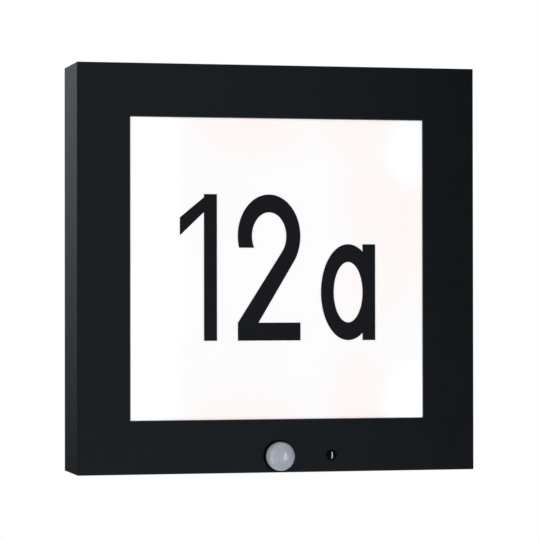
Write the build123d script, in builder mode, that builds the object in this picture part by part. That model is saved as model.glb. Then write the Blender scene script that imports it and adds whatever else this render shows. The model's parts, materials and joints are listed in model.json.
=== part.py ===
from build123d import *
import os
from math import acos, atan2, cos, degrees, hypot, sin

# Square illuminated house number sign for an outside wall, with a movement sensor.
# The sign faces -Y and +Z is up. The origin is the middle of the wall face, and every
# depth below is a distance out from the wall, in millimetres, like every other size.

os.makedirs("parts", exist_ok=True)

# ---------------------------------------------------------------- driving dimensions
# Housing
body_size = 260.0  # width and height
body_depth = 50.0
side_wall = 2.0
front_wall = 2.5
edge_round = 0.5
border_width = 34.0
window_chamfer = 0.4

# Fits
slip_gap = 0.3  # between pieces that are pushed into each other
running_gap = 0.06  # round a turning dial
thread_gap = 0.05  # round a screw in its pilot hole
clearance_gap = 0.25  # round a screw in a plain hole

# Lit panel and what lies behind it, from the front backwards
panel_recess = 1.0
panel_skin = 2.0
flange_width = 4.0
flange_thickness = 2.0
gasket_thickness = 1.0
gasket_lip = 0.3
light_chamber = 11.5
reflector_wall = 1.2
reflector_lip = 1.2
reflector_taper = 7.0
board_thickness = 1.5
board_margin = 2.0  # from the reflector's foot to the edge of the LED board
board_screw_inset = 5.0  # from the edge of the LED board
chassis_thickness = 1.5
chassis_margin = 8.0  # how far the chassis plate reaches past the panel's flange

# LEDs
led_count = 6  # in each row and each column
led_inset = 14.7  # from the edge of the LED board to the outer LEDs
led_length = 3.5
led_width = 2.8
led_height = 0.7
led_plug_inset = 8.7  # from the edge of the LED board
led_plug_z = 20.0
led_plug_width = 8.0
led_plug_height = 6.0
led_plug_depth = 7.0

# Foil characters
foil_thickness = 0.3
figure_height = 93.2
letter_height = 61.6
character_gap = 13.6
stem_width = 8.4
arm_height = 11.4
one_width = 24.0
two_width = 41.0
flag_drop = 0.16  # slope of the flag of the 1, as a share of the figure height
flag_start = 0.7  # where the flag leaves the top of the stem, as a share of its width
bowl_share = 0.57  # height of the round top of the 2, as a share of the figure height
bowl_stroke = 1.1  # side stroke of the round top, in stem widths
foot_stroke = 1.6  # width of the sloping stroke where it meets the foot, in stem widths
bowl_end = 0.08  # drop of the round top's free end below its middle, in figure heights
letter_width = 36.0
line_centre = 0.8  # height of the middle of the figures above the middle of the sign

# Back cover
cover_depth = 12.0  # rear face of the cover
cover_thickness = 2.5
cover_rim_width = 4.0
cover_rim_height = 6.5
seal_height = 2.2
seal_width = 1.8
rib_width = 1.6
rib_height = 1.5
rib_inset = 31.7  # from the edge of the cover to its stiffening ribs
cover_screw_inset = 9.5  # from the inside of the housing wall
cover_screw_pitch = 110.0
boss_radius = 4.0
boss_web = 2.0

# Screws, as shank and head radii
screw_radius = 1.5
head_radius = 2.8
head_height = 1.8
drive_width = 0.7
drive_depth = 1.0
small_screw_radius = 1.1
small_head_radius = 2.0
small_head_height = 1.3
cover_screw_length = 12.0
chassis_screw_length = 9.0
hole_spare = 1.0  # left below a screw in a blind hole
tip_gap = 0.2  # from a screw in sheet metal to what lies behind it

# Terminal compartment, in the lower half of the cover
pocket_centre = -50.0
pocket_width = 66.0
pocket_height = 48.0
pocket_gap = 2.0  # from the compartment's floor to the chassis
pocket_wall = 2.0
lid_thickness = 2.0
lid_margin = 9.0
lid_seal_thickness = 1.0
lid_round = 4.0
lid_boss_radius = 3.2
lid_boss_height = 5.0
lid_screw_offset = 5.0  # from the compartment's opening
terminal_width = 36.0
terminal_height = 17.0
terminal_row_pitch = 8.5
terminal_gap = 2.5  # from the terminal block to the compartment's mouth
terminal_pitch = 10.0
terminal_offset = 9.0  # above the middle of the compartment
terminal_screw_radius = 1.8
terminal_wire_hole = 1.6
terminal_wire_depth = 5.7
terminal_notch = 1.2
terminal_notch_depth = 3.0
terminal_well_depth = 4.0
terminal_screw_height = 3.0
terminal_drive_width = 0.6
cable_radius = 4.0  # bore of the grommet
grommet_offset = -12.0  # from the middle of the compartment
grommet_neck = 6.4
grommet_flange = 9.0
grommet_flange_thickness = 2.0
lead_radius = 1.0
thin_lead_radius = 0.8
lead_bend = 4.0
led_lead_bend = 8.0
straight_end = 4.0  # straight length of a lead where it leaves a terminal or a plug
bushing_height = 5.0
bushing_flange = 1.0
bushing_margin = 4.0
bushing_overlap = 1.5

# LED driver, in the upper half of the chassis
driver_centre = 44.0
driver_width = 110.0
driver_height = 44.0
driver_gap = 1.5  # from the driver to the back cover
driver_wall = 1.5
driver_lid = 1.2
driver_tab = 10.0
driver_post = 2.0
driver_post_inset = 4.0
driver_tab_height = 12.0
circuit_thickness = 1.6
transformer_x = -14.0
transformer_size = 18.0
transformer_gap = 0.4  # below the driver's cover
core_leg = 3.0
core_bar = 4.5
winding_gap = 0.5
winding_width = 11.0
winding_round = 1.0
capacitor_x = -38.0
small_capacitor_x = 24.0
capacitor_z = 8.0  # above the middle of the driver
capacitor_radius = 4.0
capacitor_round = 0.6
plug_drop = 0.8  # how much lower the plugs are than the transformer
plug_length = 7.0
plug_inset = 4.5  # from the outside of the driver's case
input_plug_x = 5.0
input_plug_width = 12.0
input_pitch = 5.0
output_pitch = 5.0
output_plug_width = 11.0
sensor_plug_x = 41.0
sensor_plug_width = 8.0
sensor_lead_pitch = 2.6

# Earth connection on the chassis
earth_x = -24.0
earth_z = 6.0
tag_thickness = 0.8
tag_radius = 4.0
barrel_radius = 1.4
barrel_length = 8.0
barrel_overlap = 1.0  # where the barrel runs into the ring

# Clips that hold the sensor leads to the chassis
clip_count = 3
clip_pitch = 37.0
clip_centre = -47.0
clip_length = 6.0
clip_margin = 1.5
clip_height = 4.0
clip_lift = 1.0  # from the chassis to the leads

# Movement sensor and dusk sensor, in the lower band of the front
sensor_inset = 10.6  # from the lower edge of the face to the middle of the lens
lens_radius = 9.2  # of the ball that stands in front of the face
lens_neck = 8.1
lens_stand = 0.1  # from the front face out to where the neck meets the ball
lens_wall = 1.2
lens_grip = 2.5  # by which the flange is larger than the hole for the ball
lens_flange_thickness = 1.2
lens_seal_thickness = 0.5
dusk_offset = 34.6
dusk_hole = 3.6
dusk_rise = 1.3
dusk_bore = 2.2
dusk_flange_radius = 5.2
holder_thickness = 3.3
holder_left = -26.0
holder_right = 46.0
holder_top = 10.9  # above the sensor's centre
holder_bottom = 7.8  # below it
sensor_board_height = 15.6
sensor_screw_left = -22.0
sensor_screw_right = 24.0
sensor_boss_radius = 2.8
sensor_thread = 3.2
detector_radius = 4.1
detector_foot_radius = 4.7
detector_height = 4.2
detector_foot_height = 0.8
detector_window_width = 4.1
detector_window_height = 3.3
detector_window_depth = 0.2
photodiode_radius = 1.5
photodiode_round = 0.9
chip_width = 8.0
chip_height = 6.0
chip_thickness = 1.6
chip_rise = 2.0  # above the sensor's centre
relay_x = 31.0
relay_width = 5.0
relay_height = 12.0

# Setting dials on the back
dial_offset = 14.0
dial_rise = 2.8  # above the middle of the lens
dial_radius = 4.6
dial_shaft_radius = 2.6
dial_collar_radius = 5.4
dial_collar_thickness = 1.2
dial_proud = 0.5
dial_seal_thickness = 0.5
rotor_depth = 1.5
dial_slot_width = 1.2
dial_slot_depth = 1.4
dial_slot_length = 6.9
dial_chamfer = 0.3
dial_mark_radius = 0.35
dial_mark_offset = 3.8
dial_mark_depth = 0.3
spindle_radius = 1.4
spindle_length = 3.0
trimmer_size = 9.6
trimmer_height = 5.0
rotor_radius = 2.4

# Wall bracket
sheet_thickness = 1.5
upright_offset = 75.0
upright_width = 24.0
bracket_bend = 1.2
crossbar_height = 36.0
bracket_flange_depth = 10.0
tower_height = 4.7
tower_width = 14.0
tower_foot = 2.0  # left free between the cover's towers and the wall
wall_slot_pitch = 160.0
box_slot_pitch = 60.0
slot_length = 12.0
slot_radius = 2.75
grub_radius = 2.0
grub_depth = 6.0
grub_gap = 0.1  # from the tip to the bracket while it is loose
grub_socket = 1.15
grub_socket_depth = 2.5
grub_inset = 0.3  # below the outside of the housing

# ---------------------------------------------------------------- worked-out places
inner_half = body_size / 2 - side_wall
window_size = body_size - 2 * border_width
front_inside = body_depth - front_wall
flange_front = front_inside - gasket_thickness
flange_rear = flange_front - flange_thickness
panel_face = body_depth - panel_recess
panel_size = window_size - 2 * slip_gap
flange_size = window_size + 2 * flange_width
panel_inside = panel_size - 2 * panel_skin
chassis_front = flange_rear - light_chamber
chassis_rear = chassis_front - chassis_thickness
reflector_foot = panel_inside - 2 * reflector_taper
led_board_size = reflector_foot - 2 * board_margin
led_board_front = chassis_front + board_thickness
chassis_size = flange_size + 2 * chassis_margin
chassis_hole = chassis_size / 2 - chassis_margin / 2
board_hole = led_board_size / 2 - board_screw_inset
led_pitch = (led_board_size - 2 * led_inset) / (led_count - 1)
led_plug_x = led_board_size / 2 - led_plug_inset

cover_front = cover_depth + cover_thickness
cover_half = inner_half - slip_gap
cover_ring = inner_half - cover_screw_inset
rib_reach = cover_half - rib_inset
pocket_floor = chassis_rear - pocket_gap - pocket_wall
pocket_top = pocket_centre + pocket_height / 2
lid_rear = cover_depth - lid_seal_thickness - lid_thickness
lid_screw_x = pocket_width / 2 + lid_screw_offset
lid_screw_z = pocket_height / 2 + lid_screw_offset
grommet_height = pocket_centre + grommet_offset
terminal_centre = pocket_centre + terminal_offset
terminal_rear = cover_depth + terminal_gap
lead_depth = (cover_front + pocket_floor) / 2
terminal_top = terminal_centre + terminal_height / 2

driver_rear = cover_front + driver_gap
driver_floor = chassis_rear - driver_wall
driver_bottom = driver_centre - driver_height / 2
driver_board_front = driver_floor - driver_post
driver_board_rear = driver_board_front - circuit_thickness
transformer_height = driver_board_rear - driver_rear - driver_lid - transformer_gap
plug_height = transformer_height - plug_drop
driver_tab_hole = driver_width / 2 + driver_tab / 2
plug_depth = driver_board_rear - plug_height / 2
plug_foot = driver_bottom + plug_inset
case_inside = (driver_width - 2 * driver_wall, driver_height - 2 * driver_wall)

sensor_height = sensor_inset - body_size / 2
lens_hole = lens_radius + slip_gap
lens_flange_radius = lens_hole + lens_grip
lens_centre = body_depth + lens_stand + (lens_radius**2 - lens_neck**2) ** 0.5
dial_height = sensor_height + dial_rise
lens_seal_rear = front_inside - lens_seal_thickness
holder_front = lens_seal_rear - lens_flange_thickness
sensor_board_front = holder_front - holder_thickness
sensor_board_rear = sensor_board_front - circuit_thickness
trimmer_rear = sensor_board_rear - trimmer_height
lead_lift = chassis_rear - thin_lead_radius - clip_lift
holder_width = holder_right - holder_left
holder_middle = (holder_left + holder_right) / 2

tower_inner = cover_half - tower_height
bracket_half = tower_inner - slip_gap

cover_screw_points = []
for side in (-1, 1):
    for along in (-cover_screw_pitch / 2, cover_screw_pitch / 2):
        cover_screw_points.append((side * cover_ring, along))
        cover_screw_points.append((along, side * cover_ring))
chassis_points = [(x * chassis_hole, z * chassis_hole) for x in (-1, 1) for z in (-1, 1)]
board_points = [(x * board_hole, z * board_hole) for x in (-1, 1) for z in (-1, 1)]
lid_points = [
    (x * lid_screw_x, pocket_centre + z * lid_screw_z) for x in (-1, 1) for z in (-1, 1)
]
driver_points = [(-driver_tab_hole, driver_centre), (driver_tab_hole, driver_centre)]
sensor_points = [(sensor_screw_left, sensor_height), (sensor_screw_right, sensor_height)]
dial_points = [(-dial_offset, dial_height), (dial_offset, dial_height)]
grub_points = [(-upright_offset, -grub_depth), (upright_offset, -grub_depth)]


# ---------------------------------------------------------------- shared helpers
def at(depth):
    """Plane parallel to the wall: local x is X, local y is Z, and it looks outwards."""
    return Plane.XZ.offset(depth)


def point(x, depth, z):
    return (x, -depth, z)


def save(builder, name):
    builder.part.label = name
    export_step(builder.part, f"parts/{name}.step")


def screws(name, points, seat, length, shank, head, height):
    """Cross-head screws whose heads sit at the depth seat and face the wall."""
    with BuildPart() as group:
        with BuildSketch(at(seat)):
            with Locations(*points):
                Circle(shank - thread_gap)
        extrude(amount=length)
        with BuildSketch(at(seat)):
            with Locations(*points):
                Circle(head)
        extrude(amount=-height)
        fillet(group.faces().sort_by(Axis.Y)[-len(points):].edges(), height / 3)
        with BuildSketch(at(seat - height)):
            with Locations(*points):
                Rectangle(head, drive_width)
                Rectangle(drive_width, head)
        extrude(amount=drive_depth, mode=Mode.SUBTRACT)
    save(group, name)


def lead(name, routes, radius, bend):
    """Insulated leads along straight runs joined by arcs."""
    with BuildPart() as group:
        for route in routes:
            with BuildLine() as path:
                FilletPolyline(*[point(*p) for p in route], radius=bend)
            with BuildSketch(Plane(path.line @ 0, z_dir=path.line % 0)):
                Circle(radius)
            sweep(path=path.line)
    save(group, name)


def tangent(semi_x, semi_z, x, z):
    """Where the line from (x, z) touches an ellipse about the origin, on its right."""
    u, v = x / semi_x, z / semi_z
    turn = atan2(v, u) + acos(1 / hypot(u, v))
    return (semi_x * cos(turn), semi_z * sin(turn))


# ---------------------------------------------------------------- housing
with BuildPart() as housing:
    with BuildSketch(at(0)):
        Rectangle(body_size, body_size)
    extrude(amount=body_depth)
    fillet(housing.edges().filter_by(Axis.Y), edge_round)
    fillet(housing.faces().sort_by(Axis.Y)[0].edges(), edge_round)
    with BuildSketch(at(0)):
        Rectangle(2 * inner_half, 2 * inner_half)
    extrude(amount=front_inside, mode=Mode.SUBTRACT)
    with BuildSketch(at(body_depth)):
        Rectangle(window_size, window_size)
    extrude(amount=-front_wall, mode=Mode.SUBTRACT)
    window_edges = housing.faces().sort_by(Axis.Y)[0].inner_wires().edges()
    chamfer(window_edges, window_chamfer)

    # Bosses for the back cover, each with a web to the wall beside it
    with BuildSketch(at(cover_front)):
        with Locations(*cover_screw_points):
            Circle(boss_radius)
    extrude(amount=front_inside - cover_front)
    with BuildSketch(at(cover_front + cover_rim_height + slip_gap)):
        with PolarLocations(cover_ring, 4):
            with Locations((0, -cover_screw_pitch / 2), (0, cover_screw_pitch / 2)):
                Rectangle(cover_screw_inset, boss_web, align=(Align.MIN, Align.CENTER))
    extrude(amount=front_inside - cover_front - cover_rim_height - slip_gap)
    with BuildSketch(at(cover_front)):
        with Locations(*cover_screw_points):
            Circle(screw_radius)
    extrude(amount=cover_screw_length, mode=Mode.SUBTRACT)

    # Bosses for the chassis plate
    with BuildSketch(at(chassis_front)):
        with Locations(*chassis_points):
            Circle(chassis_margin / 2 - slip_gap)
    extrude(amount=front_inside - chassis_front)
    with BuildSketch(at(chassis_front)):
        with Locations(*chassis_points):
            Circle(screw_radius)
    extrude(amount=chassis_screw_length, mode=Mode.SUBTRACT)

    # Sensor openings, and the short bosses that carry the sensor holder
    with BuildSketch(at(holder_front)):
        with Locations(*sensor_points):
            Circle(sensor_boss_radius)
    extrude(amount=front_inside - holder_front)
    with BuildSketch(at(holder_front)):
        with Locations(*sensor_points):
            Circle(small_screw_radius)
    extrude(amount=sensor_thread, mode=Mode.SUBTRACT)
    with BuildSketch(at(body_depth)):
        with Locations((0, sensor_height)):
            Circle(lens_hole)
        with Locations((dusk_offset, sensor_height)):
            Circle(dusk_hole)
    extrude(amount=-front_wall, mode=Mode.SUBTRACT)

    # Holes in the underside for the grub screws
    with BuildSketch(Plane.XY.offset(-body_size / 2)):
        with Locations(*grub_points):
            Circle(grub_radius + clearance_gap)
    extrude(amount=side_wall, mode=Mode.SUBTRACT)
save(housing, "housing")

# ---------------------------------------------------------------- lit panel
with BuildPart() as window_gasket:
    with BuildSketch(at(flange_front)):
        Rectangle(flange_size, flange_size)
        Rectangle(window_size + 2 * gasket_lip, window_size + 2 * gasket_lip, mode=Mode.SUBTRACT)
    extrude(amount=gasket_thickness)
save(window_gasket, "window_gasket")

with BuildPart() as diffuser_panel:
    with BuildSketch(at(flange_rear)):
        Rectangle(flange_size, flange_size)
    extrude(amount=flange_thickness)
    with BuildSketch(at(flange_rear)):
        Rectangle(panel_size, panel_size)
    extrude(amount=panel_face - flange_rear)
    with BuildSketch(at(flange_rear)):
        Rectangle(panel_inside, panel_inside)
    extrude(amount=panel_face - panel_skin - flange_rear, mode=Mode.SUBTRACT)
save(diffuser_panel, "diffuser_panel")

with BuildPart() as reflector_frame:
    with BuildSketch(at(chassis_front)):
        Rectangle(reflector_foot + 2 * reflector_wall, reflector_foot + 2 * reflector_wall)
    with BuildSketch(at(flange_rear)):
        Rectangle(panel_inside + 2 * reflector_wall, panel_inside + 2 * reflector_wall)
    loft()
    with BuildSketch(at(flange_rear)):
        Rectangle(flange_size, flange_size)
    extrude(amount=-reflector_lip)
    with BuildSketch(at(chassis_front)):
        Rectangle(reflector_foot, reflector_foot)
    with BuildSketch(at(flange_rear)):
        Rectangle(panel_inside, panel_inside)
    loft(mode=Mode.SUBTRACT)
save(reflector_frame, "reflector_frame")

# ---------------------------------------------------------------- foil characters
line_width = one_width + two_width + letter_width + 2 * character_gap
foot_line = line_centre - figure_height / 2
head_line = foot_line + figure_height
one_right = one_width - line_width / 2
two_centre = one_right + character_gap + two_width / 2
letter_right = line_width / 2
letter_centre = letter_right - letter_width / 2

with BuildPart() as number_figure_one:
    with BuildSketch(at(panel_face)) as one_outline:
        with Locations((one_right - stem_width / 2, foot_line + figure_height / 2)):
            Rectangle(stem_width, figure_height)
        flag_top = (one_right - flag_start * stem_width, head_line)
        flag_tip = (one_right - one_width, head_line - flag_drop * figure_height)
        flag_foot = (flag_tip[0], flag_tip[1] - arm_height)
        flag_root = (one_right - stem_width, head_line - arm_height)
        with BuildLine():
            Polyline(flag_top, flag_tip, flag_foot, flag_root, (one_right, head_line), close=True)
        make_face()
        fillet(one_outline.vertices(), foil_thickness)
    extrude(amount=foil_thickness)
save(number_figure_one, "number_figure_one")

with BuildPart() as number_figure_two:
    semi_x, semi_z = two_width / 2, bowl_share * figure_height / 2
    inner_x, inner_z = semi_x - bowl_stroke * stem_width, semi_z - arm_height
    bowl_height = head_line - semi_z
    arm_line = foot_line + arm_height - bowl_height
    slope_left = (-semi_x, arm_line)
    slope_right = (-semi_x + foot_stroke * stem_width, arm_line)
    inner_touch = tangent(inner_x, inner_z, *slope_left)
    outer_touch = tangent(semi_x, semi_z, *slope_right)
    terminal = -bowl_end * figure_height
    with BuildSketch(at(panel_face)) as two_outline:
        with Locations((two_centre, bowl_height)):
            Ellipse(semi_x, semi_z)
            Ellipse(inner_x, inner_z, mode=Mode.SUBTRACT)
            Polygon(
                (-two_width, terminal),
                (0, terminal),
                inner_touch,
                outer_touch,
                (outer_touch[0], -figure_height),
                (-two_width, -figure_height),
                align=None,
                mode=Mode.SUBTRACT,
            )
            Polygon(inner_touch, outer_touch, slope_right, slope_left, align=None)
        with Locations((two_centre, foot_line + arm_height / 2)):
            Rectangle(two_width, arm_height)
        fillet(two_outline.vertices().group_by(Axis.Y)[0], foil_thickness)
    extrude(amount=foil_thickness)
save(number_figure_two, "number_figure_two")

with BuildPart() as number_letter_a:
    ring_z = letter_height / 2
    with BuildSketch(at(panel_face)):
        with Locations((letter_centre, foot_line + ring_z)):
            Ellipse(letter_width / 2, ring_z)
        with Locations((letter_right - stem_width / 2, foot_line + ring_z)):
            Rectangle(stem_width, letter_height)
        with Locations((letter_centre, foot_line + ring_z)):
            Ellipse(letter_width / 2 - stem_width, ring_z - arm_height, mode=Mode.SUBTRACT)
    extrude(amount=foil_thickness)
save(number_letter_a, "number_letter_a")

# ---------------------------------------------------------------- light source
with BuildPart() as led_board:
    with BuildSketch(at(chassis_front)):
        Rectangle(led_board_size, led_board_size)
        with Locations(*board_points):
            Circle(screw_radius + clearance_gap, mode=Mode.SUBTRACT)
    extrude(amount=board_thickness)
save(led_board, "led_board")

with BuildPart() as led_packages:
    with BuildSketch(at(led_board_front)):
        with GridLocations(led_pitch, led_pitch, led_count, led_count):
            Rectangle(led_length, led_width)
    extrude(amount=led_height)
save(led_packages, "led_packages")

with BuildPart() as led_connector:
    with BuildSketch(at(chassis_front)):
        with Locations((led_plug_x, led_plug_z)):
            Rectangle(led_plug_width, led_plug_height)
    extrude(amount=-led_plug_depth)
save(led_connector, "led_connector")

with BuildPart() as board_screws:
    with BuildSketch(at(led_board_front)):
        with Locations(*board_points):
            Circle(screw_radius - thread_gap)
    extrude(amount=-board_thickness - chassis_thickness - tip_gap)
    with BuildSketch(at(led_board_front)):
        with Locations(*board_points):
            Circle(head_radius)
    extrude(amount=head_height)
save(board_screws, "led_board_screws")

# ---------------------------------------------------------------- chassis plate
with BuildPart() as chassis_plate:
    with BuildSketch(at(chassis_rear)):
        RectangleRounded(chassis_size, chassis_size, chassis_margin / 2)
        with Locations(*chassis_points):
            Circle(screw_radius + clearance_gap, mode=Mode.SUBTRACT)
        with Locations(*board_points, *driver_points, (earth_x, earth_z)):
            Circle(screw_radius, mode=Mode.SUBTRACT)
        with Locations((led_plug_x, led_plug_z)):
            plug_opening = (led_plug_width + 2 * slip_gap, led_plug_height + 2 * slip_gap)
            Rectangle(*plug_opening, mode=Mode.SUBTRACT)
    extrude(amount=chassis_thickness)
save(chassis_plate, "chassis_plate")
screws(
    "chassis_screws",
    chassis_points,
    chassis_rear,
    chassis_screw_length,
    screw_radius,
    head_radius,
    head_height,
)

# ---------------------------------------------------------------- LED driver
with BuildPart() as driver_case:
    with BuildSketch(at(chassis_rear)):
        with Locations((0, driver_centre)):
            RectangleRounded(driver_width, driver_height, driver_wall)
    extrude(amount=driver_rear + driver_lid - chassis_rear)
    with BuildSketch(at(chassis_rear)):
        with Locations((0, driver_centre)):
            Rectangle(driver_width + 2 * driver_tab, driver_tab_height)
    extrude(amount=-driver_wall)
    with BuildSketch(at(driver_floor)):
        with Locations((0, driver_centre)):
            Rectangle(*case_inside)
    extrude(amount=driver_rear - driver_floor, mode=Mode.SUBTRACT)
    with BuildSketch(at(driver_floor)):
        with Locations((0, driver_centre)):
            post_pitch = [side - 2 * driver_post_inset for side in case_inside]
            with GridLocations(*post_pitch, 2, 2):
                Circle(driver_post)
    extrude(amount=-driver_post)
    with BuildSketch(at(driver_floor)):
        with Locations(*driver_points):
            Circle(screw_radius + clearance_gap)
    extrude(amount=driver_wall, mode=Mode.SUBTRACT)
    with BuildSketch(Plane.XY.offset(driver_bottom)):
        for step in (-0.5, 0.5):
            with Locations((input_plug_x + step * input_pitch, -plug_depth)):
                Circle(lead_radius + slip_gap)
        for step in (-1, 0, 1):
            with Locations((sensor_plug_x + step * sensor_lead_pitch, -plug_depth)):
                Circle(thin_lead_radius + slip_gap)
    extrude(amount=driver_wall, mode=Mode.SUBTRACT)
    with BuildSketch(Plane.YZ.offset(driver_width / 2)):
        for step in (-0.5, 0.5):
            with Locations((-plug_depth, driver_centre + step * output_pitch)):
                Circle(thin_lead_radius + slip_gap)
    extrude(amount=-driver_wall, mode=Mode.SUBTRACT)
save(driver_case, "driver_case")

with BuildPart() as driver_cover:
    with BuildSketch(at(driver_rear)):
        with Locations((0, driver_centre)):
            RectangleRounded(driver_width, driver_height, driver_wall)
    extrude(amount=driver_lid)
save(driver_cover, "driver_cover")

with BuildPart() as driver_board:
    with BuildSketch(at(driver_board_rear)):
        with Locations((0, driver_centre)):
            Rectangle(case_inside[0] - 2 * slip_gap, case_inside[1] - 2 * slip_gap)
    extrude(amount=circuit_thickness)
save(driver_board, "driver_board")

with BuildPart() as transformer_core:
    with BuildSketch(at(driver_board_rear)):
        with Locations((transformer_x, driver_centre)):
            Rectangle(transformer_size, transformer_size)
            Rectangle(transformer_size - 2 * core_leg, transformer_size, mode=Mode.SUBTRACT)
            Rectangle(transformer_size, core_bar)
    extrude(amount=-transformer_height)
save(transformer_core, "driver_transformer_core")

winding_height = (transformer_size - core_bar) / 2 - winding_gap
with BuildPart() as transformer_winding:
    with BuildSketch(at(driver_board_rear)):
        for side in (-1, 1):
            winding_z = driver_centre + side * (core_bar + winding_height) / 2
            with Locations((transformer_x, winding_z)):
                Rectangle(winding_width, winding_height)
    extrude(amount=-(transformer_height - winding_gap))
    fillet(transformer_winding.edges().filter_by(Axis.Y), winding_round)
save(transformer_winding, "driver_transformer_winding")

with BuildPart() as driver_capacitors:
    with BuildSketch(at(driver_board_rear)):
        with Locations(
            (capacitor_x, driver_centre + capacitor_z),
            (capacitor_x, driver_centre - capacitor_z),
            (small_capacitor_x, driver_centre + capacitor_z),
        ):
            Circle(capacitor_radius)
    extrude(amount=-transformer_height)
    fillet(driver_capacitors.faces().sort_by(Axis.Y)[-3:].edges(), capacitor_round)
save(driver_capacitors, "driver_capacitors")

with BuildPart() as driver_connectors:
    with BuildSketch(at(driver_board_rear)):
        with Locations((input_plug_x, plug_foot + plug_length / 2)):
            Rectangle(input_plug_width, plug_length)
        with Locations((sensor_plug_x, plug_foot + plug_length / 2)):
            Rectangle(sensor_plug_width, plug_length)
        with Locations((driver_width / 2 - plug_inset - plug_length / 2, driver_centre)):
            Rectangle(plug_length, output_plug_width)
    extrude(amount=-plug_height)
save(driver_connectors, "driver_connectors")
screws(
    "driver_screws",
    driver_points,
    driver_floor,
    driver_wall + chassis_thickness - tip_gap,
    screw_radius,
    head_radius,
    head_height,
)

# ---------------------------------------------------------------- back cover
tower_points = [(x * upright_offset, z) for x in (-1, 1) for z in (-1, 1)]
seal_middle = cover_front + cover_rim_height / 2
with BuildPart() as back_cover:
    with BuildSketch(at(cover_depth)):
        Rectangle(2 * cover_half, 2 * cover_half)
    extrude(amount=cover_thickness)
    with BuildSketch(at(cover_front)):
        Rectangle(2 * cover_half, 2 * cover_half)
        rim_inside = 2 * (cover_half - cover_rim_width)
        Rectangle(rim_inside, rim_inside, mode=Mode.SUBTRACT)
    extrude(amount=cover_rim_height)
    with BuildSketch(at(seal_middle - seal_height / 2)):
        Rectangle(2 * cover_half, 2 * cover_half)
        groove_floor = 2 * (inner_half - seal_width)
        Rectangle(groove_floor, groove_floor, mode=Mode.SUBTRACT)
    extrude(amount=seal_height, mode=Mode.SUBTRACT)

    # Terminal compartment, open to the wall side
    with BuildSketch(at(cover_front)):
        with Locations((0, pocket_centre)):
            Rectangle(pocket_width + 2 * pocket_wall, pocket_height + 2 * pocket_wall)
    extrude(amount=pocket_floor + pocket_wall - cover_front)
    with BuildSketch(at(cover_front)):
        with Locations(*lid_points):
            Circle(lid_boss_radius)
    extrude(amount=lid_boss_height)
    with BuildSketch(at(cover_depth)):
        with Locations((0, pocket_centre)):
            Rectangle(pocket_width, pocket_height)
    extrude(amount=pocket_floor - cover_depth, mode=Mode.SUBTRACT)
    with BuildSketch(at(cover_depth)):
        with Locations(*lid_points):
            Circle(screw_radius)
    extrude(amount=cover_thickness + lid_boss_height - hole_spare, mode=Mode.SUBTRACT)
    with BuildSketch(Plane.XY.offset(pocket_top)):
        with Locations((0, -lead_depth)):
            Rectangle(2 * terminal_pitch + 2 * bushing_margin, bushing_height)
    extrude(amount=pocket_wall, mode=Mode.SUBTRACT)

    # Stiffening ribs, and towers that hang on the wall bracket
    with BuildSketch(at(cover_depth)):
        for side in (-1, 1):
            with Locations((side * rib_reach, 0)):
                Rectangle(rib_width, 2 * rib_reach + rib_width)
            with Locations((0, side * rib_reach)):
                Rectangle(2 * rib_reach, rib_width)
    extrude(amount=-rib_height)
    with BuildSketch(at(cover_depth)):
        for x, side in tower_points:
            with Locations((x, side * (cover_half - tower_height / 2))):
                Rectangle(tower_width, tower_height)
    extrude(amount=-(cover_depth - tower_foot))
    with BuildSketch(Plane.XY.offset(-cover_half)):
        with Locations(*grub_points):
            Circle(grub_radius)
    extrude(amount=tower_height, mode=Mode.SUBTRACT)

    # Holes for the cover screws and the two setting dials
    with BuildSketch(at(cover_depth)):
        with Locations(*cover_screw_points):
            Circle(screw_radius + clearance_gap)
        with Locations(*dial_points):
            Circle(dial_radius + running_gap)
    extrude(amount=cover_thickness, mode=Mode.SUBTRACT)
save(back_cover, "back_cover")

with BuildPart() as cover_seal:
    with BuildSketch(at(seal_middle - seal_height / 2)):
        Rectangle(2 * inner_half, 2 * inner_half)
        Rectangle(groove_floor, groove_floor, mode=Mode.SUBTRACT)
    extrude(amount=seal_height)
save(cover_seal, "cover_seal")
screws(
    "cover_screws",
    cover_screw_points,
    cover_depth,
    cover_thickness + cover_screw_length - hole_spare,
    screw_radius,
    head_radius,
    head_height,
)

# ---------------------------------------------------------------- terminal compartment
with BuildPart() as terminal_block:
    with BuildSketch(at(terminal_rear)):
        with Locations((0, terminal_centre)):
            Rectangle(terminal_width, terminal_height)
    extrude(amount=pocket_floor - terminal_rear)
    with BuildSketch(at(terminal_rear)):
        with Locations((0, terminal_centre)):
            with GridLocations(terminal_pitch, 1, 4, 1):
                Rectangle(terminal_notch, terminal_height)
    extrude(amount=terminal_notch_depth, mode=Mode.SUBTRACT)
    with BuildSketch(at(terminal_rear)):
        with Locations((0, terminal_centre)):
            with GridLocations(terminal_pitch, terminal_row_pitch, 3, 2):
                Circle(terminal_screw_radius + thread_gap)
    extrude(amount=terminal_well_depth, mode=Mode.SUBTRACT)
    with BuildSketch(Plane.XY.offset(terminal_centre - terminal_height / 2)):
        with Locations((0, -lead_depth)):
            with GridLocations(terminal_pitch, 1, 3, 1):
                Circle(terminal_wire_hole)
    extrude(amount=terminal_wire_depth, mode=Mode.SUBTRACT)
save(terminal_block, "terminal_block")

with BuildPart() as terminal_screws:
    terminal_screw_rear = terminal_rear + terminal_well_depth - terminal_screw_height
    with BuildSketch(at(terminal_screw_rear)):
        with Locations((0, terminal_centre)):
            with GridLocations(terminal_pitch, terminal_row_pitch, 3, 2):
                Circle(terminal_screw_radius)
    extrude(amount=terminal_screw_height)
    with BuildSketch(at(terminal_screw_rear)):
        with Locations((0, terminal_centre)):
            with GridLocations(terminal_pitch, terminal_row_pitch, 3, 2):
                Rectangle(2 * terminal_screw_radius, terminal_drive_width)
    extrude(amount=drive_depth, mode=Mode.SUBTRACT)
save(terminal_screws, "terminal_screws")

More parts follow.
